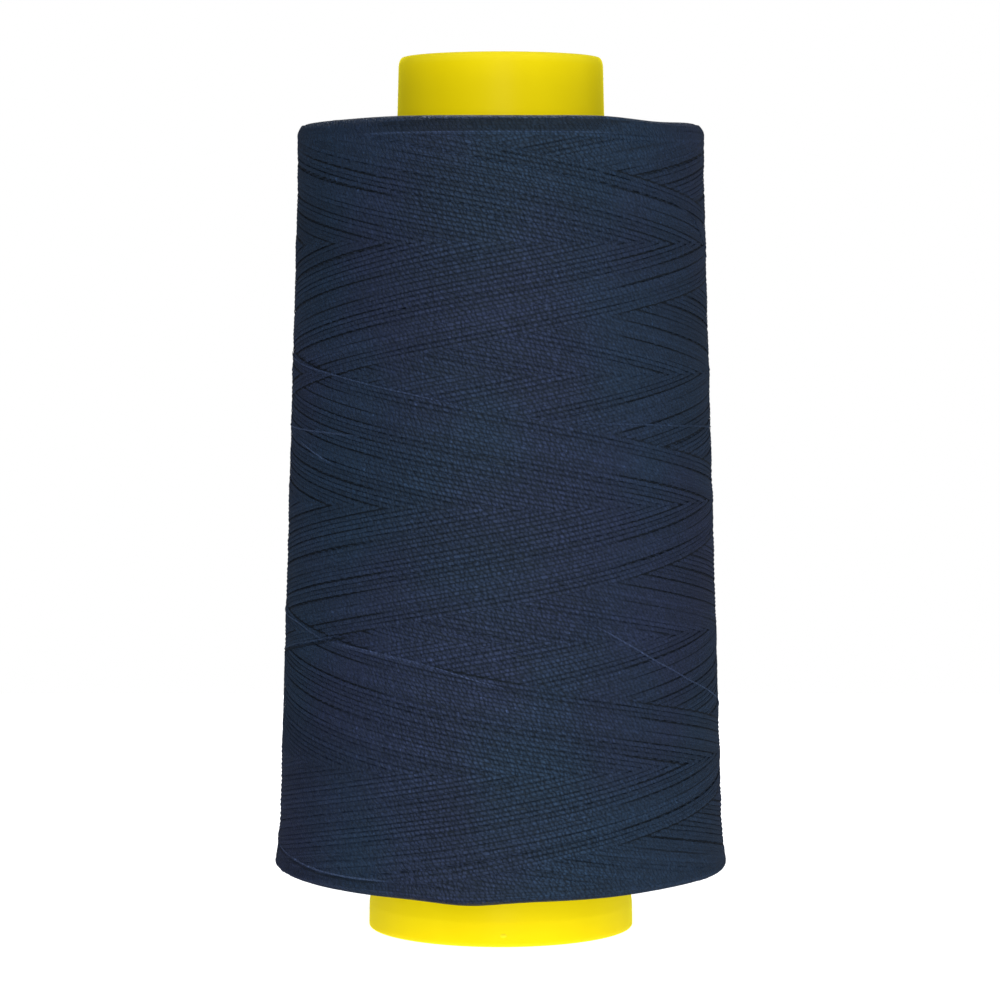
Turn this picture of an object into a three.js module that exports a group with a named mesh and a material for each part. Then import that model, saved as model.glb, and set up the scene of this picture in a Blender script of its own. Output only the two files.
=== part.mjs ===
// A cone of sewing thread: a hollow plastic cone with thread wound crosswise round it.
// Millimetres, +Z up. The origin is on the axis, at the foot of the plastic cone.
// The front of the cone faces -Y, and angles go round from the front towards +X.

import * as THREE from "three";

// Plastic cone: a thin tapered tube, open at both ends, bare at the collar and at the foot
const CORE = {
  height: 145,
  topRadius: 17.0,
  collarRadius: 17.23,
  collarFoot: 134,
  skirtTop: 10,
  skirtTopRadius: 21.44,
  footRadius: 22.13,
  footChamfer: 0.35,
  wall: 1.8,
  lipWidth: 0.7,
  lipHeight: 1.7,
  lipSteps: 4,
  segments: 96,
};

// Wound body: a tapered sleeve of thread between two rounded ends
const WOUND = {
  footHeight: 9.05,
  topHeight: 133.8,
  footRadius: 36.95,
  topRadius: 33.5,
  topRise: 0.35,
  shoulderWidth: 2.4,
  shoulderHeight: 2.2,
  footWidth: 8.0,
  footRounding: 2.2,
  roundingSteps: 4,
};

// The turns pile up where the thread turns back, so both ends swell a little
const SHOULDER_SWELL = { size: 0.35, reach: 6 };
const FOOT_SWELL = { size: 1.05, reach: 3.5 };

// Clearance between the sleeve of thread and the plastic cone
const CLEARANCE = 0.34;

// Winding: one family of ribbons falls to the right and the other rises to the right.
// Each front is the height, at the front of the cone, of the newest ribbon's outer edge.
const TURN_PITCH = 42.2;
const RIBBONS_PER_TURN = 14;
const FALLING_FRONT = 87.1;
const RISING_FRONT = 56.5;

// How far the oldest ribbons lie below the newest, and how near an end the ribbons level out
const AGE_DROP = 0.3;
const END_FADE = 6;

// Depth of the groove at the outer edge of each ribbon, from the newest to the oldest
const GROOVES = [
  { falling: 0.45, rising: 0.45 },
  { falling: 0.2, rising: 0.25 },
  { falling: 0.3, rising: 0.35 },
  { falling: 0.25, rising: 0.3 },
  { falling: 0.3, rising: 0.45 },
  { falling: 0.4, rising: 0.3 },
  { falling: 0.4, rising: 0.4 },
  { falling: 0.3, rising: 0.45 },
  { falling: 0.25, rising: 0.35 },
  { falling: 0.4, rising: 0.3 },
  { falling: 0.3, rising: 0.4 },
  { falling: 0.35, rising: 0.25 },
  { falling: 0.45, rising: 0.3 },
  { falling: 0.3, rising: 0.25 },
];

// Where the ends of the wound body sag or stand up: angle from the front, size and spread
const FOOT_SAGS = [
  { angle: -9, drop: 0.65, spread: 11 },
  { angle: 50, drop: -0.2, spread: 14 },
  { angle: 78, drop: 0.3, spread: 9 },
  { angle: 150, drop: 0.35, spread: 22 },
  { angle: -130, drop: 0.25, spread: 18 },
];
const SHOULDER_SAGS = [
  { angle: 50, drop: 0.45, spread: 17 },
  { angle: -52, drop: 0.1, spread: 20 },
  { angle: -160, drop: 0.3, spread: 25 },
];

const COLOURS = { plastic: 0xeed80c, thread: 0x222e42 };

// The lattice of the two ribbon families: a groove or crest line every half ribbon
const AROUND = 2 * RIBBONS_PER_TURN;
const HALF_RIBBON = TURN_PITCH / AROUND;
const ROW_STEP = HALF_RIBBON / 2;
const CROSSING_HEIGHT = (FALLING_FRONT + RISING_FRONT) / 2;
const CROSSING_ANGLE = (Math.PI * (FALLING_FRONT - RISING_FRONT)) / TURN_PITCH;

function point(radius, height) {
  return new THREE.Vector2(radius, height);
}

function mix(low, high, share) {
  return low + (high - low) * share;
}

// Outer radius of the plastic cone under the thread
function coreRadius(height) {
  const share = (height - CORE.skirtTop) / (CORE.collarFoot - CORE.skirtTop);
  return mix(CORE.skirtTopRadius, CORE.collarRadius, share);
}

// Points of a quarter ellipse from its outer end to its level end
function quarterRound(centre, width, height, steps) {
  const points = [];
  for (let k = 0; k <= steps; k += 1) {
    const turn = (0.5 * Math.PI * k) / steps;
    points.push(point(centre.x + width * Math.cos(turn), centre.y + height * Math.sin(turn)));
  }
  return points;
}

// A closed profile swept once round the vertical axis, starting at the given angle
function swept(profile, segments, start) {
  const geometry = new THREE.LatheGeometry([...profile, profile[0].clone()], segments, start);
  geometry.rotateX(0.5 * Math.PI);
  return geometry;
}

function plasticCone() {
  const lipCentre = point(CORE.topRadius - CORE.lipWidth, CORE.height - CORE.lipHeight);
  const outside = [
    point(CORE.footRadius - CORE.footChamfer, 0),
    point(CORE.footRadius, CORE.footChamfer),
    point(CORE.skirtTopRadius, CORE.skirtTop),
    point(CORE.collarRadius, CORE.collarFoot),
    ...quarterRound(lipCentre, CORE.lipWidth, CORE.lipHeight, CORE.lipSteps),
  ];
  const inside = [
    point(CORE.topRadius - CORE.wall + 0.5 * CORE.lipWidth, CORE.height),
    point(CORE.topRadius - CORE.wall, CORE.height - CORE.lipWidth),
    point(CORE.collarRadius - CORE.wall, CORE.collarFoot),
    point(CORE.skirtTopRadius - CORE.wall, CORE.skirtTop),
    point(CORE.footRadius - CORE.wall, 0),
  ];
  return swept([...outside, ...inside], CORE.segments, 0);
}

// Outer radius of the wound body, measured on the crests of its ribbons
function woundRadius(height) {
  const share = (height - WOUND.footHeight) / (WOUND.topHeight - WOUND.footHeight);
  const shoulder = SHOULDER_SWELL.size * Math.exp((height - WOUND.topHeight) / SHOULDER_SWELL.reach);
  const foot = FOOT_SWELL.size * Math.exp((WOUND.footHeight - height) / FOOT_SWELL.reach);
  return mix(WOUND.footRadius, WOUND.topRadius, share) + shoulder + foot;
}

// The sleeve's bore stands clear of the plastic cone, also at the middle of each facet
function boreRadius(height) {
  return (coreRadius(height) + CLEARANCE) / Math.cos(Math.PI / AROUND);
}

// Profile of the sleeve: underside, rounded foot, side rows on the lattice, shoulder, top and bore
function woundProfile() {
  const footEnd = WOUND.footHeight + WOUND.footRounding;
  const sideEnd = WOUND.topHeight - WOUND.shoulderHeight;
  const lowestRow = Math.ceil((footEnd - CROSSING_HEIGHT) / ROW_STEP);
  const highestRow = Math.floor((sideEnd - CROSSING_HEIGHT) / ROW_STEP);
  const footCentre = point(woundRadius(footEnd) - WOUND.footWidth, footEnd);
  const foot = quarterRound(footCentre, WOUND.footWidth, -WOUND.footRounding, WOUND.roundingSteps);
  const shoulderCentre = point(woundRadius(sideEnd) - WOUND.shoulderWidth, sideEnd);
  const shoulder = quarterRound(
    shoulderCentre,
    WOUND.shoulderWidth,
    WOUND.shoulderHeight,
    WOUND.roundingSteps,
  );
  const rows = [];
  rows.push({ at: point(boreRadius(WOUND.footHeight), WOUND.footHeight) });
  foot.reverse().slice(0, -1).forEach((at) => rows.push({ at }));
  for (let lattice = lowestRow; lattice <= highestRow; lattice += 1) {
    const height = CROSSING_HEIGHT + lattice * ROW_STEP;
    rows.push({ at: point(woundRadius(height), height), lattice });
  }
  shoulder.slice(1).forEach((at) => rows.push({ at }));
  const collarHeight = WOUND.topHeight + WOUND.topRise;
  rows.push({ at: point(coreRadius(collarHeight) + 4, WOUND.topHeight + 0.7 * WOUND.topRise) });
  rows.push({ at: point(boreRadius(collarHeight), collarHeight) });
  return rows;
}

function wrapped(value, span) {
  return ((value % span) + span) % span;
}

// How far the surface lies below the crests at a lattice point.
// The ribbon laid last is on top, so the younger of the two families shows.
function ribbonDrop(row, step, height) {
  const fallingAge = wrapped(-row - step, AROUND);
  const risingAge = wrapped(-step, AROUND);
  const age = Math.min(fallingAge, risingAge);
  const family = fallingAge <= risingAge ? "falling" : "rising";
  const inGroove = age % 2 === 0;
  const groove = inGroove ? GROOVES[age / 2][family] : 0;
  const toEnd = Math.min(height - WOUND.footHeight, WOUND.topHeight - height);
  const fade = Math.min(1, toEnd / END_FADE);
  return fade * (groove + (AGE_DROP * age) / AROUND);
}

// Sum of the sags at an angle, each a smooth hump that dies out over its spread
function sagAt(sags, angle) {
  let total = 0;
  for (const sag of sags) {
    const turn = THREE.MathUtils.radToDeg(angle) - sag.angle;
    const away = wrapped(turn + 180, 360) - 180;
    total += sag.drop * Math.exp(-((away / sag.spread) ** 2));
  }
  return total;
}

// The ends sag by their tables, less and less towards the middle and towards the bore
function endSag(angle, radius, height) {
  const middle = 0.5 * (WOUND.footHeight + WOUND.topHeight);
  const atFoot = height < middle;
  const sags = atFoot ? FOOT_SAGS : SHOULDER_SAGS;
  const end = atFoot ? WOUND.footHeight : WOUND.topHeight;
  const nearEnd = Math.exp(-Math.abs(height - end) / END_FADE);
  const inner = boreRadius(height);
  const outward = THREE.MathUtils.smoothstep(radius, inner, woundRadius(height) - END_FADE);
  return sagAt(sags, angle) * nearEnd * outward;
}

// Each row is turned by half a segment more than the row below it, so that the edges of the
// faces run along the two families of ribbons, and then the grooves are pressed in
function woundSleeve() {
  const rows = woundProfile();
  const firstSideRow = rows.findIndex((row) => row.lattice !== undefined);
  const base = rows[firstSideRow].lattice - firstSideRow;
  const geometry = swept(rows.map((row) => row.at), AROUND, 0);
  const position = geometry.getAttribute("position");
  const ringCount = rows.length + 1;
  for (let k = 0; k < position.count; k += 1) {
    const index = k % ringCount;
    const closing = index === rows.length;
    const row = closing ? rows[0] : rows[index];
    const turned = base + (closing ? 2 * Math.floor(0.5 * rows.length) : index);
    const step = Math.floor(k / ringCount) % AROUND;
    const halfSteps = wrapped(2 * step + turned, 2 * AROUND);
    const angle = CROSSING_ANGLE + (halfSteps * Math.PI) / AROUND;
    const { x: crest, y: level } = row.at;
    const onSide = row.lattice !== undefined;
    const radius = crest - (onSide ? ribbonDrop(row.lattice, step, level) : 0);
    const height = level - endSag(angle, crest, level);
    position.setXYZ(k, radius * Math.sin(angle), -radius * Math.cos(angle), height);
  }
  return geometry;
}

function part(name, geometry, colour, roughness) {
  const material = new THREE.MeshStandardMaterial({ color: colour, roughness, metalness: 0 });
  const mesh = new THREE.Mesh(geometry, material);
  mesh.name = name;
  return mesh;
}

const cone = new THREE.Group();
cone.add(part("core", plasticCone(), COLOURS.plastic, 0.45));
cone.add(part("thread", woundSleeve(), COLOURS.thread, 0.85));

export default cone;
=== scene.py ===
import math

import bpy
import numpy as np
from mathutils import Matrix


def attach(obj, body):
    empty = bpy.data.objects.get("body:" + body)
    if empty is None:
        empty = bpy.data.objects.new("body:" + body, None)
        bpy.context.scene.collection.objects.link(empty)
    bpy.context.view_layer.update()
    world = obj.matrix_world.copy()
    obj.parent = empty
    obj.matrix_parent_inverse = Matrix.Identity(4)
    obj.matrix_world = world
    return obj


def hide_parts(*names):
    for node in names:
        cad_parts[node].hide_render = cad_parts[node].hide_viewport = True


# A cone of sewing thread on a plain pale floor. Lengths are millimetres until a mesh is made.
# The front of the cone faces -Y, and angles are degrees round from the front towards +X.

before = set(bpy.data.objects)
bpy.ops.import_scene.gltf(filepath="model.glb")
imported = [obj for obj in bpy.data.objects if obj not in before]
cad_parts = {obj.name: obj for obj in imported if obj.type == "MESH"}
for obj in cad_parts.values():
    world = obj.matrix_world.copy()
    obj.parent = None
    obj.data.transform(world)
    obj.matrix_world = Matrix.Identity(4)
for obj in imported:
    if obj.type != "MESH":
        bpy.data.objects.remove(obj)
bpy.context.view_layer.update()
MM = 0.001
RANDOM = np.random.default_rng(11)

# Plastic cone
CORE = {
    "height": 145.0,
    "top_radius": 17.0,
    "collar_radius": 17.23,
    "collar_foot": 134.0,
    "skirt_top": 10.0,
    "skirt_top_radius": 21.44,
    "foot_radius": 22.13,
    "wall": 1.8,
    "lip_width": 0.7,
    "lip_height": 1.7,
    "edge_rounding": 0.28,
}
CORE_SEGMENTS = 160
# The foot leans in a little up to a low step, and the collar ends in a lip
FOOT_WALL = {"lean": 0.02, "low": 0.7, "high": 4.2, "step_height": 6.0, "step": 0.35}
LIP_NECK = {"below": 1.2, "out": 0.03}
# How much paler the edges of the foot are painted, a painted highlight, against 1 on the upper rim
FOOT_EDGE = {"outside": 0.7, "bore": 0.3}
# The mark that the moulding gate leaves low on the front of the foot
GATE_MARK = {
    "angle": 1.1,
    "height": 1.9,
    "half_width": 0.75,
    "half_height": 0.45,
    "rise": 0.16,
    "sink": 0.05,
}

# Wound body
WOUND = {
    "foot_height": 9.05,
    "top_height": 133.92,
    "foot_radius": 37.38,
    "top_radius": 33.5,
    "top_rise": 0.35,
    "shoulder_width": 2.0,
    "shoulder_height": 1.9,
    "foot_width": 8.0,
    "foot_rounding": 2.2,
}
SHOULDER_SWELL = {"size": 0.35, "reach": 6.0}
FOOT_SWELL = {"size": 1.05, "reach": 3.5}
CLEARANCE = 0.35
# The top dips a little this far outside the plastic cone
TOP_DIP = {"out": 4.0, "rise_share": 0.7}

# Where the ends of the wound body sag or stand up
FOOT_SAGS = [
    {"angle": -9, "drop": 0.65, "spread": 11},
    {"angle": 50, "drop": -0.2, "spread": 14},
    {"angle": 78, "drop": 0.3, "spread": 9},
    {"angle": 150, "drop": 0.35, "spread": 22},
    {"angle": -130, "drop": 0.25, "spread": 18},
]
SHOULDER_SAGS = [
    {"angle": 50, "drop": 0.45, "spread": 17},
    {"angle": 33, "drop": -0.25, "spread": 16},
    {"angle": -52, "drop": 0.1, "spread": 20},
    {"angle": -33, "drop": -0.15, "spread": 20},
    {"angle": -160, "drop": 0.3, "spread": 25},
]
SAG_REACH = 6.0

# Winding: the thread falls and rises by one pitch a turn, and turns back at two planes
PITCH = 42.2
FALLING_FRONT = 87.1
FOOT_TURN = 8.5
TOP_TURN = 135.1

# Grooves between the ribbons of the newest layer: age behind the front, and width
GROOVES = [
    {"age": 0.0, "width": 0.26},
    {"age": 2.4, "width": 0.20},
    {"age": 4.4, "width": 0.17},
    {"age": 6.3, "width": 0.24},
    {"age": 8.8, "width": 0.20},
    {"age": 11.2, "width": 0.16},
    {"age": 14.1, "width": 0.24},
    {"age": 16.5, "width": 0.15},
    {"age": 19.0, "width": 0.22},
    {"age": 21.4, "width": 0.25},
    {"age": 23.5, "width": 0.21},
    {"age": 26.1, "width": 0.19},
    {"age": 28.0, "width": 0.13},
    {"age": 30.4, "width": 0.08},
    {"age": 33.0, "width": 0.14},
    {"age": 34.6, "width": 0.11},
    {"age": 36.3, "width": 0.12},
    {"age": 39.6, "width": 0.18},
]
# A thin turn lies low in each groove, painted dark as shade; the grooves close up somewhat at the
# front of the cone
GROOVE = {
    "half_width": 0.2,
    "press": 0.25,
    "painted_shade": 0.42,
    "opened": 1.2,
    "closed_within": 24.0,
    "open_beyond": 46.0,
}
# A groove's painted shade is darker and lighter in stretches, and a wide one is darker
GROOVE_SHADE = {
    "mean": 0.75,
    "size": 0.35,
    "counts": (2.3, 4.1, 7.3),
    "least": 0.15,
    "most": 1.15,
    "full_width": 0.2,
    "widest": 1.3,
}
# Where one groove stays open and painted dark across the front, in degrees of winding from the
# newest turn
OPEN_GROOVE = {
    "ribbon": 0,
    "start": 312.0,
    "end": 372.0,
    "fade_in": 10.0,
    "fade_out": 14.0,
    "shade": 0.3,
}

# One strand of sewing thread, pressed a little flat on the cone
STRAND = {"spacing": 0.66, "half_width": 0.335, "thickness": 0.3, "sink": 0.35, "edge_drop": 0.1}
# How a strand rests: on the highest and on the mean of what lies near its middle
REST = {"near": 0.75, "highest": 0.55, "mean": 0.45, "least_rise": 0.1, "tension": 9}
# Ribbons wander together, and each strand a little on its own: waves a turn, and their size
RIBBON_WANDER = {"counts": (1.3, 2.7, 4.4), "size": 0.05, "ease": 12.0}
STRAND_WANDER = {"counts": (5, 9, 14), "size": 0.014}
# Each older layer lies this far behind the one above it
LAYER_SHIFT = 1.1

# The thread turns back this far inside the two planes, and is pressed flatter where turns pile up
TURN_BACK = {"least": 1.5, "most": 3.2, "own": 0.5}
PRESS = {"reach": 5.0, "least": 0.3}

# The last turns at both ends lie level, in a smooth band round the rim
BAND = {
    "counts": (1, 2, 3, 5, 7),
    "wander": 0.2,
    "least_share": 0.2,
    "spacing": 0.5,
    "offset": 0.12,
    "margin": 4,
    "press": 0.6,
    "tension": 25,
}
FOOT_BAND = {"from_start": 0.5, "high": 12.1}
TOP_BAND = {"low": 131.0, "from_end": 0.5}
# The turns just inside the rim of the top get a painted shadow on the front
TOP_SHADE = {
    "low": 131.5,
    "high": 133.4,
    "edge": 0.3,
    "painted_shade": 0.24,
    "angle": -2.0,
    "spread": 44.0,
}

# Single turns that stray over the others: degrees round and height, how pale they look as a painted
# highlight, and how dark where one lies low as a painted shadow line
STRAYS = [
    {"path": [(-88, 96.3), (-84, 95.7), (-51, 92.9), (-25, 90.1), (-12, 88.4)], "pale": 0.6},
    {"path": [(-92, 84.4), (-84, 84.1), (-52, 83.5), (-40, 83.1)], "pale": 0.9},
    {"path": [(-74, 82.6), (-66, 81.3), (-55, 79.3), (-47, 78.0)], "pale": 0.9},
    {
        "path": [(-96, 54.2), (-86, 53.2), (-67, 52.3), (-59, 51.0), (-51, 49.9), (-44, 49.6),
                 (-37, 49.1), (-26, 48.1), (-21, 47.5), (-13, 46.2), (-5, 44.7), (4, 43.2)],
        "pale": 0.85,
    },
    {
        "path": [(-54, 50.4), (-48, 49.6), (-40, 49.0), (-30, 48.3), (-20, 47.2), (-10, 45.4)],
        "pale": 0.5,
    },
    {
        "path": [(-96, 45.2), (-88, 46.0), (-55, 49.4), (-46, 50.6), (-38, 51.2)],
        "pale": 0.0,
        "shade": 0.3,
    },
    {"path": [(-96, 45.8), (-88, 46.6), (-55, 50.0), (-46, 51.1)], "pale": 0.5},
    {"path": [(-44, 131.1), (-20, 131.2), (4, 131.25), (34, 131.2)], "pale": 0.5},
    {"path": [(20, 85.5), (29, 85.3), (83, 83.9), (96, 83.7)], "pale": 0.35},
    {
        "path": [(22, 53.9), (26, 52.9), (33, 50.5), (43, 47.2),
                 (58, 43.2), (80, 38.9), (92, 36.6)],
        "pale": 0.75,
    },
    {"path": [(33, 124.9), (50, 121.6), (68, 118.2), (84, 112.0)], "pale": 0.2},
    {
        "path": [(-104, 17.4), (-80, 14.6), (-62, 13.4), (-52, 12.8), (-40, 12.55), (-26, 12.6)],
        "pale": 1.0,
    },
    {
        "path": [(-104, 16.9), (-80, 14.1), (-62, 12.9), (-52, 12.3), (-40, 12.1), (-25, 12.2)],
        "pale": 0.0,
        "shade": 0.24,
    },
    {"path": [(-76, 12.8), (-71, 13.2), (-48, 15.7), (-40, 16.3)], "pale": 0.3},
    {"path": [(118, 100.2), (150, 92.5), (171, 88.6)], "pale": 0.4},
    {"path": [(-172, 61.0), (-140, 55.1), (-118, 52.8)], "pale": 0.35},
    {"path": [(140, 34.6), (166, 40.9), (188, 44.0)], "pale": 0.3},
]
STRAY = {"half_width": 0.16, "press": 0.7, "tension": 15, "fade": 8.0, "from_ends": 3.0}

# Unrolled map of the winding: one column a degree, rows along the outline
COLUMNS = 360
ROW_STEP = 0.1
# Points along each rounded end and along the side of the outline, before it is cut into rows
ARC_POINTS = 80
SIDE_POINTS = 600
# Running means, in rows or columns of the map
DIRECTION_WINDOW = 15
SIDE_WINDOW = 41
LOCAL_WINDOW = 21

# The crests stand this far above the mean height of the winding
CREST_ALLOWANCE = 0.1
# Near the ends the turns are packed this flat, and get this much painted shade, against 1 beside
END_FLATNESS = 0.25
END_SHADOW = 0.15
# Where the looks of the side set in: distance from the turning planes, and over what distance
SETS_IN = {
    "groove": (2.5, 6.0),
    "flatness": (2.5, 8.0),
    "shadow": (3.5, 8.0),
    "level": (4.5, 6.0),
}
# A strand shows where it lies no deeper than this under the final surface
HIDDEN_DEPTH = 0.05
# Strands start this far apart in the pattern of their twist, by their seeds
TWIST_OFFSET = 500.0
# The crests around a place: rows and columns each way, and the running mean
ENVELOPE = {"rows": 6, "columns": 2, "window": 5}
# The closed body under the strands: how far it is drawn in, and every how many rows and columns
SHELL = {"rows": 4, "columns": 1, "below": 0.06, "row_step": 4, "column_step": 2}

# How much less painted shade the ribbons get at the front, where they lie closest
FRONT_CALM = {"share": 0.7, "within": 14.0, "beyond": 42.0}
# Where the ribbons lie as close as at the front, low on the left
STILL_PATCH = {"share": 0.9, "angle": -62.0, "spread": 50.0, "height": 24.0, "reach": 17.0}
# Where the painted highlight and shade of the front light make the twist of single strands show
# most
FRONT_LIGHT = {"within": 10.0, "beyond": 48.0}

# Looks of the yarn: its colour, its twist, and its noises, of which the last four are in space
THREAD_COLOUR = (0.0103, 0.0177, 0.0435)
# The third hue is the paler, greyer one of the painted highlight on stray turns
THREAD_HUES = {"teal": (0.84, 1.14, 1.0), "plum": (1.14, 0.96, 1.0), "lit_pale": (1.9, 1.6, 1.25)}
TWIST = {"length": 0.8, "lean": 0.26, "wander": 2.4, "fibres": 1.6}
YARN_NOISE = {
    "wander": {"scale": 1.0, "detail": 1.0},
    "fibres": {"scale": 2.2, "detail": 3.0, "roughness": 0.6},
    "dashes": {"scale": 2.6},
    "clouds": {"scale": 42.0, "roughness": 0.55},
    "patches": {"scale": 26.0},
    "lint": {"scale": 1500.0, "detail": 0.0},
    "speckle": {"scale": 1900.0, "detail": 1.0},
}
# Strands start this far apart in the noises along a strand, by their seeds
SEED_STRIDE = {"wander": 50.0, "fibres": 60.0, "dashes": 90.0}
# Most of a noise's values lie in the first range, and the patches of colour fade over the second
NOISE_RANGE = (0.3, 0.7)
PATCH_RANGE = (0.38, 0.62)
# Each pattern goes from one value to another, and over that range from one tone to another
YARN_TONE = {
    "seed": (0.0, 1.0, 0.88, 1.12),
    "clouds": (0.3, 0.7, 0.92, 1.08),
    "fibres": (0.3, 0.7, 0.8, 1.2),
    "speckle": (0.3, 0.7, 0.76, 1.24),
    "lint": (0.8, 0.87, 1.0, 2.2),
    "painted_shade": (0.12, 0.32, 1.0, 0.14),
    "pale": (0.0, 1.0, 1.0, 2.1),
}
# Tones of the patterns that grow stronger from the sides to the front, as painted highlight and
# shade of the front light
FRONT_LIGHT_TONE = {
    "dashes": {"side": (0.86, 1.14), "front": (0.68, 1.36)},
    "bead": {"side": (0.78, 1.04), "front": (0.5, 1.1)},
    "across": {"side": (1.04, 0.9), "front": (1.13, 0.42)},
}
YARN_ROUGHNESS = (0.36, 0.5)
YARN_BUMP = {"bead": 0.3, "fibres": 0.5, "distance": 0.00024}
YARN_SHEEN = {"Specular IOR Level": 0.38, "Specular Tint": (0.6, 0.8, 0.95, 1.0)}

# Looks of the plastic and of the floor
PLASTIC_COLOURS = {
    "body": (0.93, 0.735, 0.002, 1.0),
    "flow": (0.97, 0.775, 0.004, 1.0),
    # The edge colour is the paler yellow of a painted highlight on the rims and the gate mark
    "edge": (0.95, 0.8, 0.03, 1.0),
}
PLASTIC_NOISE = {"flow": {"scale": 60.0, "detail": 3.0}, "grain": {"scale": 2600.0}}
FLOW_STRETCH = 0.35
PLASTIC_ROUGHNESS = (0.36, 0.44)
PLASTIC_BUMP = {"grain": 0.4, "distance": 0.00002, "strength": 0.6}
PLASTIC_SHEEN = {
    "Specular IOR Level": 0.04,
    "Sheen Weight": 1.0,
    "Sheen Roughness": 0.4,
    "Sheen Tint": (1.0, 0.88, 0.02, 1.0),
}
FLOOR_GREYS = [(0.86, 0.86, 0.86, 1.0), (0.9, 0.9, 0.9, 1.0)]
FLOOR_HALF_SIZE = 0.35
FLOOR_GLOW = {
    "Roughness": 0.9,
    "Specular IOR Level": 0.0,
    "Emission Color": (1.0, 1.0, 1.0, 1.0),
    "Emission Strength": 0.92,
}

# Camera that fits the photo's outlines, in metres and radians
CAMERA = {"place": (-0.000137, -0.58935, 0.10404), "tilt": 0.0552, "sensor": 36.0, "lens": 126.98}
CAMERA_CLIP = {"near": 0.05, "far": 60.0}

# Light tent: its strength behind and before the object, and on its two sides
ROOM_LIGHT = {"behind": 0.1, "before": 0.5, "left": 0.58, "right": 1.08}
ROOM_REACH = {"dim_from": 0.75, "full_from": -0.1}
ROOM_COLOUR = (0.93, 0.98, 1.1, 1.0)
WHITE = (1.0, 1.0, 1.0)
# Area lights, in metres and watts, all turned to the middle of the object
TARGET = (0.0, 0.0, 0.0725)
LIGHTS = [
    {
        "name": "front",
        "location": (0.04, -1.5, 0.38),
        "size": (0.45, 0.9),
        "power": 12.5,
        "colour": (1.0, 0.97, 0.93),
    },
    {
        "name": "overhead",
        "location": (0.0, -0.3, 1.6),
        "size": (1.2, 1.2),
        "power": 3.0,
        "colour": WHITE,
    },
    {
        "name": "behind",
        "location": (0.0, 0.95, 1.2),
        "size": (0.5, 0.7),
        "power": 5.0,
        "colour": WHITE,
    },
]


def add_object(name, data):
    piece = bpy.data.objects.new(name, data)
    bpy.context.scene.collection.objects.link(piece)
    return piece


def add_camera():
    data = bpy.data.cameras.new("camera")
    data.sensor_width = CAMERA["sensor"]
    data.lens = CAMERA["lens"]
    data.clip_start = CAMERA_CLIP["near"]
    data.clip_end = CAMERA_CLIP["far"]
    camera = add_object("camera", data)
    camera.location = CAMERA["place"]
    camera.rotation_euler = (0.5 * math.pi - CAMERA["tilt"], 0.0, 0.0)
    bpy.context.scene.camera = camera


def add_area_light(name, location, size, power, colour):
    data = bpy.data.lights.new(name, "AREA")
    data.shape = "RECTANGLE"
    data.size, data.size_y = size
    data.energy = power
    data.color = colour
    light = add_object(name, data)
    light.location = location
    away = [a - b for a, b in zip(location, TARGET)]
    flat = math.hypot(away[0], away[1])
    light.rotation_euler = (math.atan2(flat, away[2]), 0.0, math.atan2(away[0], -away[1]))


def add_world():
    """A light tent that is dimmer behind the object, before a plain white backdrop."""
    world = bpy.data.worlds.new("studio")
    world.use_nodes = True
    tree = world.node_tree
    tree.nodes.clear()
    output = tree.nodes.new("ShaderNodeOutputWorld")
    mix = tree.nodes.new("ShaderNodeMixShader")
    path = tree.nodes.new("ShaderNodeLightPath")
    direction = tree.nodes.new("ShaderNodeTexCoord")
    split = tree.nodes.new("ShaderNodeSeparateXYZ")
    tent = tree.nodes.new("ShaderNodeMapRange")
    tent.interpolation_type = "SMOOTHSTEP"
    tent.inputs["From Min"].default_value = ROOM_REACH["dim_from"]
    tent.inputs["From Max"].default_value = ROOM_REACH["full_from"]
    tent.inputs["To Min"].default_value = ROOM_LIGHT["behind"]
    tent.inputs["To Max"].default_value = ROOM_LIGHT["before"]
    aside = tree.nodes.new("ShaderNodeMapRange")
    aside.inputs["From Min"].default_value = -1.0
    aside.inputs["From Max"].default_value = 1.0
    aside.inputs["To Min"].default_value = ROOM_LIGHT["left"]
    aside.inputs["To Max"].default_value = ROOM_LIGHT["right"]
    strength = tree.nodes.new("ShaderNodeMath")
    strength.operation = "MULTIPLY"
    room = tree.nodes.new("ShaderNodeBackground")
    room.inputs["Color"].default_value = ROOM_COLOUR
    backdrop = tree.nodes.new("ShaderNodeBackground")
    backdrop.inputs["Color"].default_value = (*WHITE, 1.0)
    backdrop.inputs["Strength"].default_value = 1.0
    tree.links.new(direction.outputs["Generated"], split.inputs[0])
    tree.links.new(split.outputs["Y"], tent.inputs["Value"])
    tree.links.new(split.outputs["X"], aside.inputs["Value"])
    tree.links.new(tent.outputs["Result"], strength.inputs[0])
    tree.links.new(aside.outputs["Result"], strength.inputs[1])
    tree.links.new(strength.outputs["Value"], room.inputs["Strength"])
    tree.links.new(path.outputs["Is Camera Ray"], mix.inputs["Fac"])
    tree.links.new(room.outputs["Background"], mix.inputs[1])
    tree.links.new(backdrop.outputs["Background"], mix.inputs[2])
    tree.links.new(mix.outputs["Shader"], output.inputs["Surface"])
    bpy.context.scene.world = world


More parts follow.
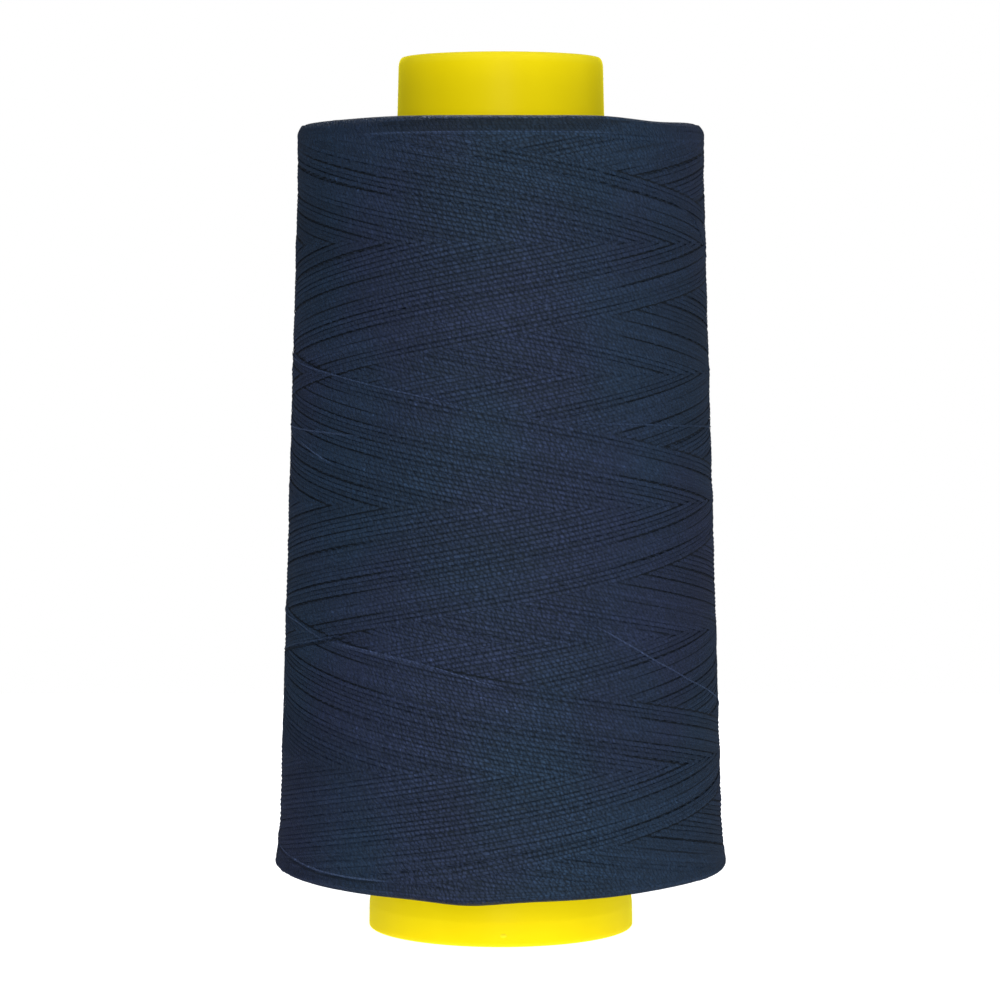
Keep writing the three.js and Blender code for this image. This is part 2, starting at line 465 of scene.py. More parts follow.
class Nodes:
    """A material's node tree, with short calls for adding and joining nodes."""

    def __init__(self, name):
        self.material = bpy.data.materials.new(name)
        self.material.use_nodes = True
        self.tree = self.material.node_tree
        self.shader = self.tree.nodes["Principled BSDF"]

    def add(self, kind, **settings):
        node = self.tree.nodes.new(kind)
        for key, value in settings.items():
            setattr(node, key, value)
        return node

    def put(self, source, socket):
        """Joins an output to an input, or sets the input to a constant."""
        if isinstance(source, bpy.types.NodeSocket):
            self.tree.links.new(source, socket)
        else:
            socket.default_value = source

    def math(self, operation, *values):
        node = self.add("ShaderNodeMath", operation=operation)
        for socket, value in zip(node.inputs, values):
            self.put(value, socket)
        return node.outputs[0]

    def product(self, *values):
        total = values[0]
        for value in values[1:]:
            total = self.math("MULTIPLY", total, value)
        return total

    def ramp(self, value, low, high, start=0.0, end=1.0):
        node = self.add("ShaderNodeMapRange", interpolation_type="SMOOTHSTEP")
        for socket, source in zip(node.inputs, (value, low, high, start, end)):
            self.put(source, socket)
        return node.outputs[0]

    def mix(self, share, first, second, blend="MIX"):
        node = self.add("ShaderNodeMix", data_type="RGBA", blend_type=blend)
        self.put(share, node.inputs[0])
        self.put(first, node.inputs[6])
        self.put(second, node.inputs[7])
        return node.outputs[2]

    def noise(self, vector, scale, detail=2.0, roughness=0.5):
        node = self.add("ShaderNodeTexNoise")
        self.put(vector, node.inputs["Vector"])
        node.inputs["Scale"].default_value = scale
        node.inputs["Detail"].default_value = detail
        node.inputs["Roughness"].default_value = roughness
        return node.outputs["Fac"]

    def combine(self, x, y, z):
        node = self.add("ShaderNodeCombineXYZ")
        for socket, value in zip(node.inputs, (x, y, z)):
            self.put(value, socket)
        return node.outputs[0]

    def split(self, vector):
        node = self.add("ShaderNodeSeparateXYZ")
        self.put(vector, node.inputs[0])
        return node.outputs

    def attribute(self, name):
        return self.add("ShaderNodeAttribute", attribute_name=name)

    def set_shader(self, values):
        """Sets constant values on the shader's own sockets."""
        for key, value in values.items():
            self.shader.inputs[key].default_value = value

    def place(self):
        return self.add("ShaderNodeTexCoord").outputs["Object"]

    def bump(self, height, distance, strength=1.0):
        node = self.add("ShaderNodeBump")
        node.inputs["Strength"].default_value = strength
        node.inputs["Distance"].default_value = distance
        self.put(height, node.inputs["Height"])
        self.put(node.outputs["Normal"], self.shader.inputs["Normal"])


def tinted(colour, factors):
    return (*(part * factor for part, factor in zip(colour, factors)), 1.0)


def yarn_material():
    """Dyed spun thread: plies twisted into beads, a little fluff, and painted shade where it lies
    deep.
    """
    n = Nodes("thread_yarn")
    along, across, seed = n.split(n.attribute("yarn").outputs["Vector"])
    painted_shade = n.attribute("painted_shade").outputs["Fac"]
    pale = n.attribute("pale").outputs["Fac"]
    front_light = n.attribute("front_light").outputs["Fac"]
    place = n.place()

    def by_front_light(pattern):
        """Both ends of a pattern's tones, each going from its value on the sides to the front's."""
        tones = FRONT_LIGHT_TONE[pattern]
        pairs = zip(tones["side"], tones["front"])
        return [n.ramp(front_light, 0.0, 1.0, side, front) for side, front in pairs]

    # The twist: turns along the strand, which lean across it and wander a little
    strand = {key: n.math("MULTIPLY", seed, stride) for key, stride in SEED_STRIDE.items()}
    wander_place = n.combine(n.math("MULTIPLY", along, 0.5), strand["wander"], 0.0)
    wander = n.noise(wander_place, **YARN_NOISE["wander"])
    lean = n.math("MULTIPLY", across, TWIST["lean"])
    turn = n.math("ADD", n.math("DIVIDE", along, TWIST["length"]), lean)
    turn = n.math("ADD", turn, n.math("MULTIPLY", wander, TWIST["wander"]))
    bead = n.ramp(n.math("SINE", n.math("MULTIPLY", turn, 2.0 * math.pi)), -1.0, -0.1)

    fibre_place = n.combine(
        n.math("MULTIPLY", turn, TWIST["fibres"]),
        n.math("MULTIPLY", across, TWIST["fibres"]),
        strand["fibres"],
    )
    fibres = n.noise(fibre_place, **YARN_NOISE["fibres"])
    dashes = n.noise(n.combine(along, strand["dashes"], 0.0), **YARN_NOISE["dashes"])
    clouds = n.noise(place, **YARN_NOISE["clouds"])
    patches = n.noise(place, **YARN_NOISE["patches"])
    lint = n.noise(place, **YARN_NOISE["lint"])
    speckle = n.noise(place, **YARN_NOISE["speckle"])

    teal, plum, lit_pale = (tinted(THREAD_COLOUR, THREAD_HUES[key]) for key in ("teal", "plum", "lit_pale"))
    dyed = n.mix(n.ramp(patches, *PATCH_RANGE), plum, teal)
    # Stray turns are mixed towards the paler hue, a painted highlight
    hue = n.mix(n.math("MULTIPLY", pale, 0.5), dyed, lit_pale)
    tone = n.product(
        n.ramp(seed, *YARN_TONE["seed"]),
        n.ramp(clouds, *YARN_TONE["clouds"]),
        n.ramp(fibres, *YARN_TONE["fibres"]),
        n.ramp(speckle, *YARN_TONE["speckle"]),
        # Tone along the strand that differs at random, with painted glints at the front
        n.ramp(dashes, *NOISE_RANGE, *by_front_light("dashes")),
        n.ramp(lint, *YARN_TONE["lint"]),
        # Painted shade between the turns of the twist, stronger at the front
        n.ramp(bead, 0.0, 1.0, *by_front_light("bead")),
        # Painted shade at the strand's edges, stronger at the front
        n.ramp(n.math("ABSOLUTE", across), 0.3, 1.0, *by_front_light("across")),
        # Painted shade: darker the deeper the strand lies below the crests around it
        n.ramp(painted_shade, *YARN_TONE["painted_shade"]),
        # Stray turns painted lighter as a painted highlight
        n.ramp(pale, *YARN_TONE["pale"]),
    )
    grey = n.combine(tone, tone, tone)
    n.put(n.mix(1.0, hue, grey, "MULTIPLY"), n.shader.inputs["Base Color"])
    n.put(n.ramp(fibres, *NOISE_RANGE, *YARN_ROUGHNESS), n.shader.inputs["Roughness"])
    raised = n.math("MULTIPLY", bead, YARN_BUMP["bead"])
    fluff = n.math("MULTIPLY", fibres, YARN_BUMP["fibres"])
    n.bump(n.math("ADD", raised, fluff), YARN_BUMP["distance"])
    n.set_shader(YARN_SHEEN)
    return n.material


def plastic_material():
    """Satin yellow polypropylene with faint flow marks, fine moulding grain and a paler painted
    highlight on the edges.
    """
    n = Nodes("core_plastic")
    place = n.place()
    x, y, z = n.split(place)
    flow_place = n.combine(x, y, n.math("MULTIPLY", z, FLOW_STRETCH))
    flow = n.noise(flow_place, **PLASTIC_NOISE["flow"])
    grain = n.noise(place, **PLASTIC_NOISE["grain"])
    # Rims and the gate mark are painted paler, a painted highlight
    edge = n.math("MULTIPLY", n.attribute("edge").outputs["Fac"], 0.6)
    body = n.mix(n.ramp(flow, *NOISE_RANGE), PLASTIC_COLOURS["body"], PLASTIC_COLOURS["flow"])
    n.put(n.mix(edge, body, PLASTIC_COLOURS["edge"]), n.shader.inputs["Base Color"])
    n.put(n.ramp(flow, *NOISE_RANGE, *PLASTIC_ROUGHNESS), n.shader.inputs["Roughness"])
    rough = n.math("ADD", n.math("MULTIPLY", grain, PLASTIC_BUMP["grain"]), flow)
    n.bump(rough, PLASTIC_BUMP["distance"], PLASTIC_BUMP["strength"])
    n.set_shader(PLASTIC_SHEEN)
    return n.material


def floor_material():
    n = Nodes("pale_floor")
    cloud = n.noise(n.place(), 3.0, 2.0)
    n.put(n.mix(cloud, *FLOOR_GREYS), n.shader.inputs["Base Color"])
    n.set_shader(FLOOR_GLOW)
    return n.material


def add_floor():
    half = FLOOR_HALF_SIZE
    mesh = bpy.data.meshes.new("floor")
    corners = [(-half, -half, 0.0), (half, -half, 0.0), (half, half, 0.0), (-half, half, 0.0)]
    mesh.from_pydata(corners, [], [(0, 1, 2, 3)])
    mesh.materials.append(floor_material())
    floor = add_object("floor", mesh)
    floor.visible_glossy = False


def make_mesh(name, points, quads, attributes=None):
    """A smooth mesh of quads from arrays in millimetres, with values a vertex as attributes."""
    mesh = bpy.data.meshes.new(name)
    mesh.vertices.add(len(points))
    mesh.vertices.foreach_set("co", (np.asarray(points) * MM).astype(np.float32).ravel())
    mesh.loops.add(4 * len(quads))
    mesh.loops.foreach_set("vertex_index", np.asarray(quads, np.int32).ravel())
    mesh.polygons.add(len(quads))
    mesh.polygons.foreach_set("loop_start", np.arange(0, 4 * len(quads), 4, dtype=np.int32))
    mesh.polygons.foreach_set("use_smooth", np.ones(len(quads), bool))
    mesh.update(calc_edges=True)
    for key, values in (attributes or {}).items():
        values = np.asarray(values, np.float32)
        kind = "FLOAT_VECTOR" if values.ndim == 2 else "FLOAT"
        layer = mesh.attributes.new(key, kind, "POINT")
        layer.data.foreach_set("vector" if values.ndim == 2 else "value", values.ravel())
    return mesh


def add_piece(name, mesh, material, node):
    mesh.materials.append(material)
    piece = add_object(name, mesh)
    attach(piece, "root")
    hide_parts(node)
    return piece


def in_space(angle, radius, height):
    """Points in space from degrees round, radius and height."""
    turn = np.radians(angle)
    return np.stack([radius * np.sin(turn), -radius * np.cos(turn), height], -1)


def grid_quads(rows, columns):
    """Quads of a grid of vertices, seen from outside. The last row meets the first again."""
    row = np.arange(rows)[:, None]
    column = np.arange(columns - 1)[None, :]
    low, high = row * columns + column, (row + 1) % rows * columns + column
    return np.stack([low, high, high + 1, low + 1], -1).reshape(-1, 4)


def smooth_step(value, low, high):
    share = np.clip((value - low) / (high - low), 0.0, 1.0)
    return share * share * (3.0 - 2.0 * share)


def soft_window(size):
    """Weights of a running mean over an odd number of places, with soft ends."""
    window = np.hanning(size + 2)[1:-1]
    return window / window.sum()


def running_mean(values, size, mode="edge", **options):
    padded = np.pad(values, size // 2, mode, **options)
    return np.convolve(padded, soft_window(size), "valid")


def core_radius(height):
    share = (height - CORE["skirt_top"]) / (CORE["collar_foot"] - CORE["skirt_top"])
    return CORE["skirt_top_radius"] + (CORE["collar_radius"] - CORE["skirt_top_radius"]) * share


def core_outline():
    """Radius, height and edge share (its painted highlight) round the plastic wall: up the outside
    and down the bore.
    """
    turn = np.linspace(0.0, 0.5 * math.pi, 9)
    soft = CORE["edge_rounding"]
    foot = CORE["foot_radius"]
    lit_pale = FOOT_EDGE["outside"]
    points = [(foot - soft + soft * math.sin(a), soft - soft * math.cos(a), lit_pale) for a in turn]
    for z in np.linspace(FOOT_WALL["low"], FOOT_WALL["high"], 12):
        points.append((foot + FOOT_WALL["lean"] - FOOT_WALL["lean"] * z, z, 0.0))
    points += [
        (CORE["skirt_top_radius"] + FOOT_WALL["step"], FOOT_WALL["step_height"], 0.0),
        (CORE["skirt_top_radius"], CORE["skirt_top"], 0.0),
    ]
    points += [(core_radius(z), z, 0.0) for z in np.linspace(20.0, CORE["collar_foot"], 12)]
    lip_radius = CORE["top_radius"] - CORE["lip_width"]
    lip_height = CORE["height"] - CORE["lip_height"]
    points.append((CORE["top_radius"] + LIP_NECK["out"], lip_height - LIP_NECK["below"], 0.0))
    for a in turn:
        radius = lip_radius + CORE["lip_width"] * math.cos(a)
        points.append((radius, lip_height + CORE["lip_height"] * math.sin(a), math.sin(a)))
    bore = CORE["top_radius"] - CORE["wall"]
    for a in turn:
        radius = bore + soft - soft * math.sin(a)
        points.append((radius, CORE["height"] - 2 * soft + 2 * soft * math.cos(a), math.cos(a)))
    points += [
        (CORE["collar_radius"] - CORE["wall"], CORE["collar_foot"], 0.0),
        (CORE["skirt_top_radius"] - CORE["wall"], CORE["skirt_top"], 0.0),
        (foot - CORE["wall"], soft, FOOT_EDGE["bore"]),
        (foot - CORE["wall"] + soft, 0.0, FOOT_EDGE["outside"]),
    ]
    return np.array(points + points[:1])


def add_core():
    outline = core_outline()
    angle = np.arange(CORE_SEGMENTS) * 360.0 / CORE_SEGMENTS
    angle, radius = np.meshgrid(angle, outline[:, 0], indexing="ij")
    height = np.tile(outline[:, 1], (CORE_SEGMENTS, 1))
    edge = np.tile(outline[:, 2], (CORE_SEGMENTS, 1))
    points = in_space(angle, radius, height)
    quads = grid_quads(CORE_SEGMENTS, len(outline))
    mesh = make_mesh("core_tube", points.reshape(-1, 3), quads, {"edge": edge.ravel()})
    add_piece("core_tube", mesh, PLASTIC, "core")


def add_gate_mark():
    """A small flat dome on the outside of the foot."""
    rings, spokes = 6, 24
    spoke_turns = np.arange(spokes) * 2 * math.pi / spokes
    share, turn = np.meshgrid(np.linspace(0.0, 1.0, rings), spoke_turns)
    height = GATE_MARK["height"] + share * GATE_MARK["half_height"] * np.sin(turn)
    aside = share * GATE_MARK["half_width"] * np.cos(turn)
    wall = CORE["foot_radius"] - FOOT_WALL["lean"] * height
    radius = wall - GATE_MARK["sink"] + GATE_MARK["rise"] * (1.0 - share**2)
    angle = GATE_MARK["angle"] + np.degrees(aside / wall)
    points = in_space(angle, radius, height).reshape(-1, 3)
    # The whole gate mark gets the paler edge colour, a painted highlight
    edge = np.full(len(points), 1.0)
    mesh = make_mesh("gate_mark", points, grid_quads(spokes, rings), {"edge": edge})
    add_piece("gate_mark", mesh, PLASTIC, "core")


def wound_radius(height):
    share = (height - WOUND["foot_height"]) / (WOUND["top_height"] - WOUND["foot_height"])
    side = WOUND["foot_radius"] + (WOUND["top_radius"] - WOUND["foot_radius"]) * share
    below_top, above_foot = WOUND["top_height"] - height, height - WOUND["foot_height"]
    shoulder = SHOULDER_SWELL["size"] * np.exp(-below_top / SHOULDER_SWELL["reach"])
    foot = FOOT_SWELL["size"] * np.exp(-above_foot / FOOT_SWELL["reach"])
    return side + shoulder + foot


def bore_radius(height):
    return core_radius(height) + CLEARANCE


def wound_outline():
    """Rows a step apart along the outline from underside to top, each with its radius, its height
    and the outward direction there.
    """
    foot_end = WOUND["foot_height"] + WOUND["foot_rounding"]
    side_end = WOUND["top_height"] - WOUND["shoulder_height"]
    turn = np.linspace(0.0, 0.5 * math.pi, ARC_POINTS)
    foot_centre = wound_radius(foot_end) - WOUND["foot_width"]
    shoulder_centre = wound_radius(side_end) - WOUND["shoulder_width"]
    side = np.linspace(foot_end, side_end, SIDE_POINTS)
    top = WOUND["top_height"] + WOUND["top_rise"]
    radius = np.concatenate([
        [bore_radius(WOUND["foot_height"])],
        foot_centre + WOUND["foot_width"] * np.sin(turn),
        wound_radius(side)[1:-1],
        shoulder_centre + WOUND["shoulder_width"] * np.cos(turn),
        [core_radius(top) + TOP_DIP["out"], bore_radius(top)],
    ])
    height = np.concatenate([
        [WOUND["foot_height"]],
        foot_end - WOUND["foot_rounding"] * np.cos(turn),
        side[1:-1],
        side_end + WOUND["shoulder_height"] * np.sin(turn),
        [WOUND["top_height"] + TOP_DIP["rise_share"] * WOUND["top_rise"], top],
    ])
    length = np.concatenate([[0.0], np.cumsum(np.hypot(np.diff(radius), np.diff(height)))])
    middle = 0.5 * (FOOT_TURN + TOP_TURN)
    on_side = slice(1 + ARC_POINTS, ARC_POINTS + SIDE_POINTS - 1)
    length += middle - np.interp(middle, height[on_side], length[on_side])
    rows = np.arange(length[0], length[-1], ROW_STEP)
    radius, height = np.interp(rows, length, radius), np.interp(rows, length, height)
    across = running_mean(np.gradient(radius, ROW_STEP), DIRECTION_WINDOW)
    up = running_mean(np.gradient(height, ROW_STEP), DIRECTION_WINDOW)
    size = np.hypot(across, up)
    return rows, radius, height, up / size, -across / size


ROWS, ROW_RADIUS, ROW_HEIGHT, OUT_RADIUS, OUT_HEIGHT = wound_outline()


def row_index(row):
    return np.clip(np.round((row - ROWS[0]) / ROW_STEP).astype(int), 0, len(ROWS) - 1)


def away_from(angle, middle):
    return (angle - middle + 180.0) % 360.0 - 180.0


def on_side_share(row, look):
    """A share that goes smoothly from 0 at the turning planes to 1 where a look has set in."""
    start, reach = SETS_IN[look]
    return smooth_step(np.minimum(row - FOOT_TURN, TOP_TURN - row), start, start + reach)


def flatness(row):
    """How much of the relief is left: little near the ends, where the turns are packed flat."""
    return END_FLATNESS + (1.0 - END_FLATNESS) * on_side_share(row, "flatness")


def front_share(angle, within, beyond):
    """A share that goes smoothly from 1 at the front of the cone to 0 on its sides."""
    return 1.0 - smooth_step(np.abs(away_from(angle, 0.0)), within, beyond)


def still_share(angle, row):
    """A share that goes smoothly to 1 in the still patch, low on the left."""
    aside = away_from(angle, STILL_PATCH["angle"]) / STILL_PATCH["spread"]
    along = (row - STILL_PATCH["height"]) / STILL_PATCH["reach"]
    return STILL_PATCH["share"] * np.exp(-(aside**4) - along**4)


def side_share(angle, row):
    """How much painted shade the ribbons get from each other: less at the front and in the still
    patch.
    """
    front = FRONT_CALM["share"] * front_share(angle, FRONT_CALM["within"], FRONT_CALM["beyond"])
    return (1.0 - front) * (1.0 - still_share(angle, row))


def sag_at(sags, angle):
    total = np.zeros_like(angle, dtype=float)
    for sag in sags:
        total += sag["drop"] * np.exp(-((away_from(angle, sag["angle"]) / sag["spread"]) ** 2))
    return total


def end_sag(angle, radius, height):
    """How far the ends sag, less and less towards the middle and towards the bore."""
    at_foot = height < 0.5 * (WOUND["foot_height"] + WOUND["top_height"])
    end = np.where(at_foot, WOUND["foot_height"], WOUND["top_height"])
    near_end = np.exp(-np.abs(height - end) / SAG_REACH)
    inner = bore_radius(height)
    outward = smooth_step(radius, inner, wound_radius(height) - SAG_REACH)
    sag = np.where(at_foot, sag_at(FOOT_SAGS, angle), sag_at(SHOULDER_SAGS, angle))
    return sag * near_end * outward


def on_winding(angle, row, lift):
    """Points in space from degrees round, place along the outline, and height above it."""
    radius = np.interp(row, ROWS, ROW_RADIUS) + lift * np.interp(row, ROWS, OUT_RADIUS)
    height = np.interp(row, ROWS, ROW_HEIGHT) + lift * np.interp(row, ROWS, OUT_HEIGHT)
    return in_space(angle, radius, height - end_sag(angle, radius, height))


def smoothed(values, size, axis, wrap=False):
    """Running mean along one axis of the map, which may go on round the cone."""
    pad = [(0, 0)] * values.ndim
    pad[axis] = (size // 2, size // 2)
    padded = np.pad(values, pad, "wrap" if wrap else "edge")
    places = np.arange(values.shape[axis])
    total = np.zeros_like(values)
    for k, share in enumerate(soft_window(size)):
        total += share * np.take(padded, places + k, axis)
    return total


def spread(values, rows, columns, pick):
    """The highest or lowest value within some rows and columns of each place."""
    result = values.copy()
    for k in range(1, rows + 1):
        result[k:] = pick(result[k:], values[:-k])
        result[:-k] = pick(result[:-k], values[k:])
    once = result.copy()
    for k in range(1, columns + 1):
        result = pick(result, pick(np.roll(once, k, 1), np.roll(once, -k, 1)))
    return result


def waves(angle, size, counts):
    """A smooth random wander round the cone, as the sum of a few waves a turn."""
    total = np.zeros_like(angle, dtype=float)
    for count in counts:
        total += np.sin(np.radians(angle) * count + RANDOM.uniform(0.0, 2.0 * math.pi))
    return size * total / math.sqrt(len(counts))


class Strand:
    """One pass of thread: whole degrees round, place along the outline, and how it looks."""

    def __init__(self, angle, row, half_width=STRAND["half_width"], shade=0.0, pale=0.0):
        self.angle = angle
        self.row = row
        self.half_width = half_width
        self.shade = np.broadcast_to(shade, angle.shape)
        self.pale = np.broadcast_to(pale, angle.shape)
        self.seed = RANDOM.uniform()
        self.crest = None


class Bed:
    """The height of the winding so far, over the unrolled outline."""

    def __init__(self):
        self.height = np.zeros((len(ROWS), COLUMNS))

    def lay(self, strand, press, tension=REST["tension"]):
        """Lays one strand on what is there, and gives it the height of its crest."""
        reach = int(math.ceil(strand.half_width / ROW_STEP)) + 1
        column = (strand.angle % COLUMNS)[:, None]
        exact = (strand.row - ROWS[0]) / ROW_STEP
        index = np.round(exact).astype(int)[:, None] + np.arange(-reach, reach + 1)
        index = np.clip(index, 0, len(ROWS) - 1)
        across = np.abs(index - exact[:, None]) * ROW_STEP / strand.half_width
        under = self.height[index, column]
        near = across < REST["near"]
        top = np.where(near, under, -1.0).max(1)
        mean = np.where(near, under, 0.0).sum(1) / near.sum(1)
        rest = running_mean(REST["highest"] * top + REST["mean"] * mean, tension)
        rise = (1.0 - STRAND["sink"]) * STRAND["thickness"] * press
        strand.crest = np.maximum(rest + rise, top + REST["least_rise"] * press)
        drop = 1.0 - np.sqrt(np.clip(1.0 - across**2, 0.0, 1.0))
        dome = strand.crest[:, None] - STRAND["thickness"] * drop
        self.height[index, column] = np.where(across < 1.0, np.maximum(dome, under), under)


def ribbon_strands(shift):
    """Ages of the strands within one layer: with grooves, without, and the number of the ribbon."""
    ages = []
    for k, groove in enumerate(GROOVES):
        after = GROOVES[k + 1]["age"] if k + 1 < len(GROOVES) else PITCH
        start = groove["age"] + 0.5 * GROOVE["opened"] * groove["width"]
        next_width = GROOVES[(k + 1) % len(GROOVES)]["width"]
        room = after - 0.5 * GROOVE["opened"] * next_width - start
        count = max(1, round(room / STRAND["spacing"]))
        full = after - groove["age"]
        for i in range(count):
            share = (i + 0.5) / count
            ages.append((start + room * share + shift, groove["age"] + full * share + shift, k))
    return ages


def leg(age, closed_age, ribbon, falling, phases, turn_back):
    """One pass of the thread from end to end: whole degrees round and place along the outline.

    It goes a few degrees past the turning planes, and wanders with the phases of its ribbon.
    """
    rate = PITCH / 360.0
    if falling:
        first = (FALLING_FRONT - age - TOP_TURN) / rate
        last = (FALLING_FRONT - age - FOOT_TURN) / rate
        angle = np.arange(math.floor(first) - 3, math.ceil(last) + 2)
        line = FALLING_FRONT - age - rate * angle
    else:
        front = 2 * FOOT_TURN - FALLING_FRONT
        first = (FOOT_TURN - front - age) / rate
        last = (TOP_TURN - front - age) / rate
        angle = np.arange(math.floor(first) - 1, math.ceil(last) + 4)
        line = front + age + rate * angle
    closing = (closed_age - age) * closed_share(angle, line, falling, ribbon)
    line = line - closing if falling else line + closing
    to_end = np.minimum(line - FOOT_TURN, TOP_TURN - line)
    size = RIBBON_WANDER["size"] * np.clip(to_end / RIBBON_WANDER["ease"], 0.0, 1.0)
    for count, phase in zip(RIBBON_WANDER["counts"], phases):
        line = line + size * np.sin(np.radians(angle) * count + phase)
    foot, top = line - FOOT_TURN, TOP_TURN - line
    row = line + (np.hypot(foot, turn_back[0]) - foot) - (np.hypot(top, turn_back[1]) - top)
    return angle, row


def open_share(angle, falling, ribbon):
    """One groove of the falling family stays open and dark on its way across the front."""
    if not falling or ribbon != OPEN_GROOVE["ribbon"]:
        return np.zeros(len(angle))
    start, end = OPEN_GROOVE["start"], OPEN_GROOVE["end"]
    opened = smooth_step(angle, start - OPEN_GROOVE["fade_in"], start)
    return opened * (1.0 - smooth_step(angle, end - OPEN_GROOVE["fade_out"], end))


def closed_share(angle, row, falling, ribbon):
    """How far a groove is closed: most at the front and low on the left, but not the open one."""
    closed = front_share(angle, GROOVE["closed_within"], GROOVE["open_beyond"])
    closed = np.maximum(closed, still_share(angle, row))
    return closed * (1.0 - open_share(angle, falling, ribbon))


def groove_shade(angle, row, falling, ribbon):
    """How much painted shade a groove gets: by its width, in fading stretches, and not where it is
    closed.
    """
    look = GROOVE_SHADE
    wander = waves(angle, look["size"], look["counts"])
    stretches = np.clip(look["mean"] + wander, look["least"], look["most"])
    wide = min(GROOVES[ribbon]["width"] / look["full_width"], look["widest"])
    shade = GROOVE["painted_shade"] * wide * stretches * (1.0 - closed_share(angle, row, falling, ribbon))
    return np.maximum(shade, OPEN_GROOVE["shade"] * open_share(angle, falling, ribbon))


def pressed(row):
    to_end = np.minimum(row - FOOT_TURN, TOP_TURN - row)
    return np.clip(to_end / PRESS["reach"], PRESS["least"], 1.0)


def wind_layer(bed, layer):
    """Lays one layer of both families, oldest first, and returns the strands by name."""
    groups = {}
    passes = []
    for age, closed_age, ribbon in ribbon_strands(layer * (PITCH + LAYER_SHIFT)):
        passes.append((age, closed_age, ribbon, False))
    if layer == 0:
        passes += [(groove["age"], groove["age"], k, True) for k, groove in enumerate(GROOVES)]
    passes.sort(key=lambda entry: -entry[0])
    phases = RANDOM.uniform(0.0, 2.0 * math.pi, (len(GROOVES), 2, 3))
    turn_backs = RANDOM.uniform(TURN_BACK["least"], TURN_BACK["most"], (len(GROOVES), 2))
    for age, closed_age, ribbon, low in passes:
        own = RANDOM.uniform(-TURN_BACK["own"], TURN_BACK["own"], 2)
        for family, name in enumerate(("falling", "rising")):
            falling = name == "falling"
            wander, turn_back = phases[ribbon, family], turn_backs[ribbon] + own
            angle, row = leg(age, closed_age, ribbon, falling, wander, turn_back)
            row = row + waves(angle, STRAND_WANDER["size"], STRAND_WANDER["counts"])
            # The low turn in a groove carries the groove's painted shade
            if low:
                shade = groove_shade(angle, row, falling, ribbon) * on_side_share(row, "groove")
                strand = Strand(angle, row, GROOVE["half_width"], shade)
                bed.lay(strand, GROOVE["press"] * pressed(row))
            else:
                strand = Strand(angle, row)
                bed.lay(strand, pressed(row))
            part = "newer" if age < 0.5 * PITCH else "older"
            groups.setdefault(f"{name}_{part}" if layer == 0 else "old", []).append(strand)
    return groups


def lay_band(bed, low, high):
    """Level turns side by side round one end, each wandering a little."""
    rings = []
    angle = np.arange(COLUMNS + 1)
    for middle in np.arange(low, high, BAND["spacing"]):
        drift = np.zeros(len(angle))
        for count in BAND["counts"]:
            phase = RANDOM.uniform(0.0, 2.0 * math.pi)
            size = RANDOM.uniform(BAND["least_share"], 1.0) * BAND["wander"] / math.sqrt(count)
            drift += size * np.sin(np.radians(angle) * count + phase)
        row = middle + RANDOM.uniform(-BAND["offset"], BAND["offset"]) + drift
        row = np.clip(row, ROWS[BAND["margin"]], ROWS[-1 - BAND["margin"]])
        # Turns just inside the top rim get their painted shadow here
        rings.append(Strand(angle, row, shade=top_shade(angle, row)))
    for k in RANDOM.permutation(len(rings)):
        bed.lay(rings[k], BAND["press"], BAND["tension"])
        rings[k].crest[-1] = rings[k].crest[0]
    return rings


# Painted shadow on the turns just inside the top rim, strongest at the front
def top_shade(angle, row):
    inside = smooth_step(row, TOP_SHADE["low"] - TOP_SHADE["edge"], TOP_SHADE["low"])
    inside *= 1.0 - smooth_step(row, TOP_SHADE["high"] - TOP_SHADE["edge"], TOP_SHADE["high"])
    at_front = np.exp(-((away_from(angle, TOP_SHADE["angle"]) / TOP_SHADE["spread"]) ** 4))
    return TOP_SHADE["painted_shade"] * inside * at_front


def stray_strand(path, pale, shade=0.0):
    """A single turn along a smooth path, whose looks fade out at both ends."""
    angles, heights = np.array(path, float).T
    on_side = (ROWS > FOOT_TURN + STRAY["from_ends"]) & (ROWS < TOP_TURN - STRAY["from_ends"])
    rows = np.interp(heights, ROW_HEIGHT[on_side], ROWS[on_side])
    angle = np.arange(math.ceil(angles[0]), math.floor(angles[-1]) + 1)
    row = running_mean(np.interp(angle, angles, rows), 7, "reflect", reflect_type="odd")
    to_end = np.minimum(angle - angles[0], angles[-1] - angle)
    fade = np.clip(to_end / STRAY["fade"], 0.0, 1.0)
    # The painted shadow and painted highlight of a stray fade out at its ends
    return Strand(angle, row, STRAY["half_width"], shade * fade, pale * fade)


def ground_level(final):
    """The height that counts as the outline: even on the side, and the local one near the ends."""
    side = smoothed(final.mean(1), SIDE_WINDOW, 0)[:, None]
    local = smoothed(smoothed(final, LOCAL_WINDOW, 0), LOCAL_WINDOW, 1, wrap=True)
    return local + on_side_share(ROWS, "level")[:, None] * (side - local) + CREST_ALLOWANCE


